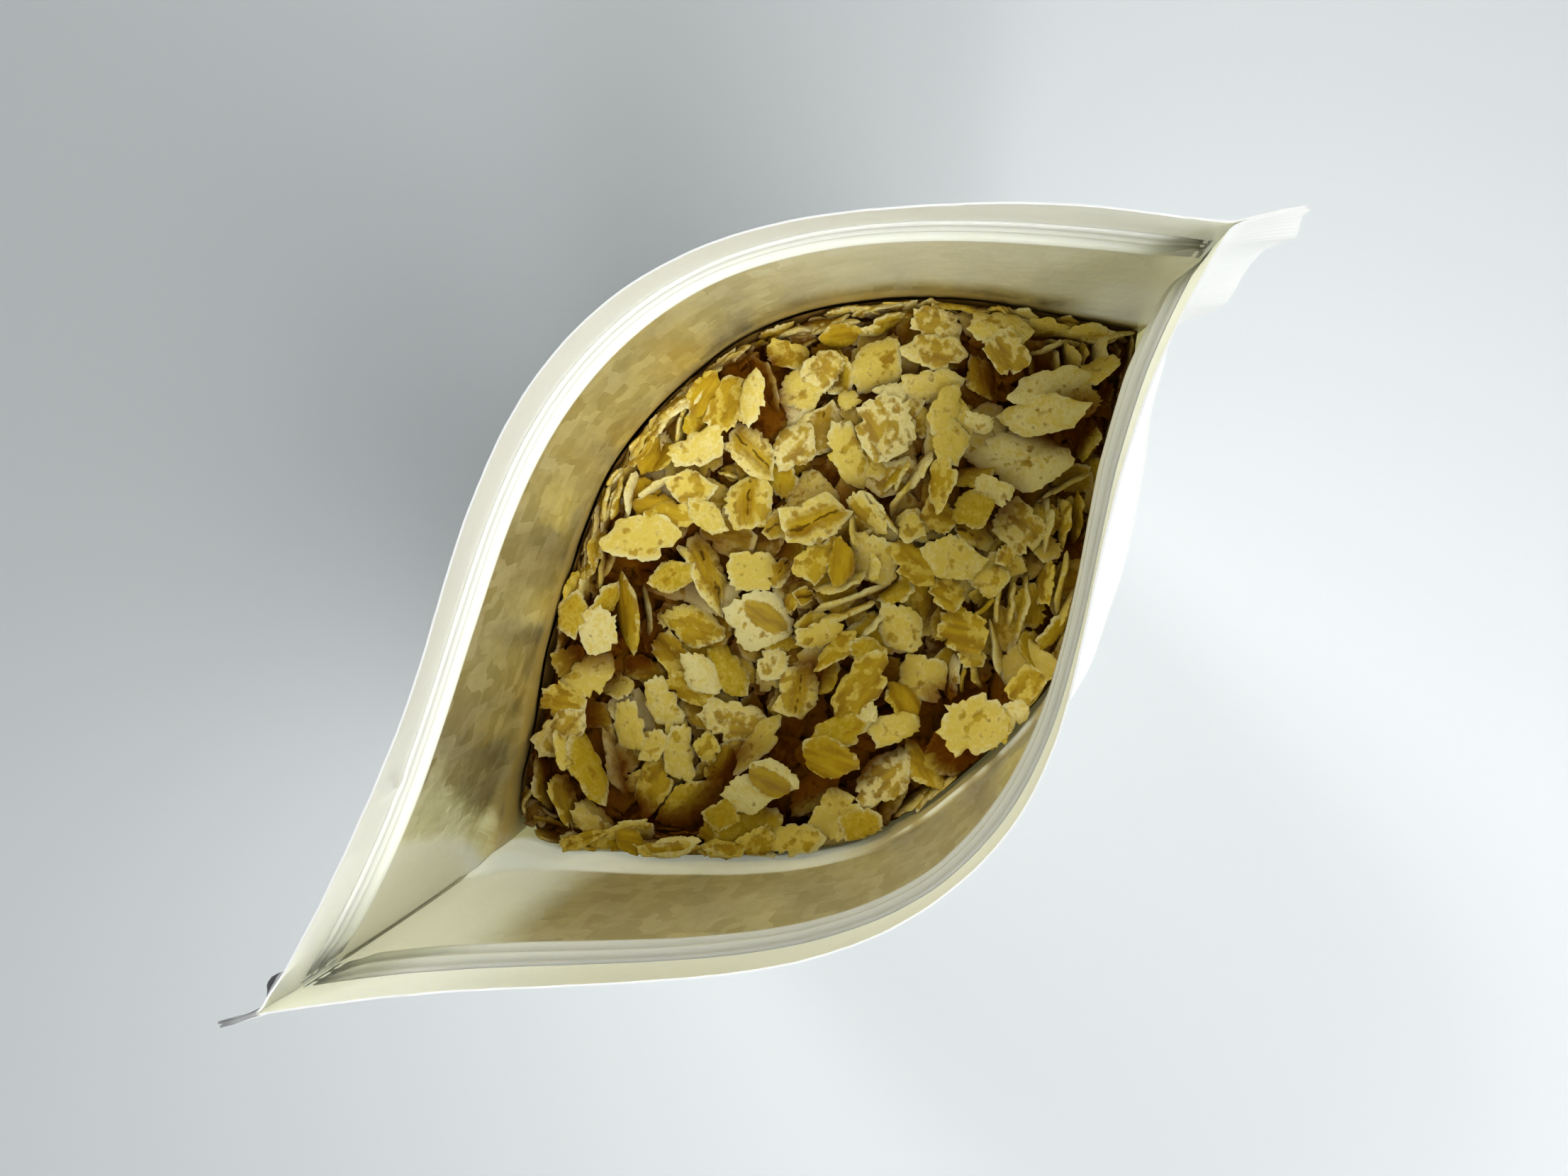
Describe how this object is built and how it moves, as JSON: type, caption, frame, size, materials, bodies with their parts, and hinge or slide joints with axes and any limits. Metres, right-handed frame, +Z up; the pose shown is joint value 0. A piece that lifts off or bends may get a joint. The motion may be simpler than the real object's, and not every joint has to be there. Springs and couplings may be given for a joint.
{
  "type": "open stand-up pouch of rolled oats",
  "caption": "Resealable stand-up pouch of white film with a silvery lining, torn open above its zip, mouth standing open in a twisted leaf shape, part full of rolled oat flakes.",
  "frame": {"origin": "on the floor below the centre of the pouch's bounding box", "axes": "+Z up out of the mouth, +X from the left side seal to the right one, +Y towards the back panel"},
  "size_m": [0.1342, 0.0808, 0.21],
  "materials": {
    "white_film": "matt white laminated film outside, satin silver metallised lining inside",
    "zip_plastic": "milky, slightly glossy polyethylene",
    "oat_flakes": "dry and floury, cream with golden brown bran"
  },
  "bodies": {
    "root": {"pouch_film": "white_film", "zip_rail_back": "zip_plastic", "zip_rail_front": "zip_plastic", "oats": "oat_flakes"}
  },
  "joints": []
}
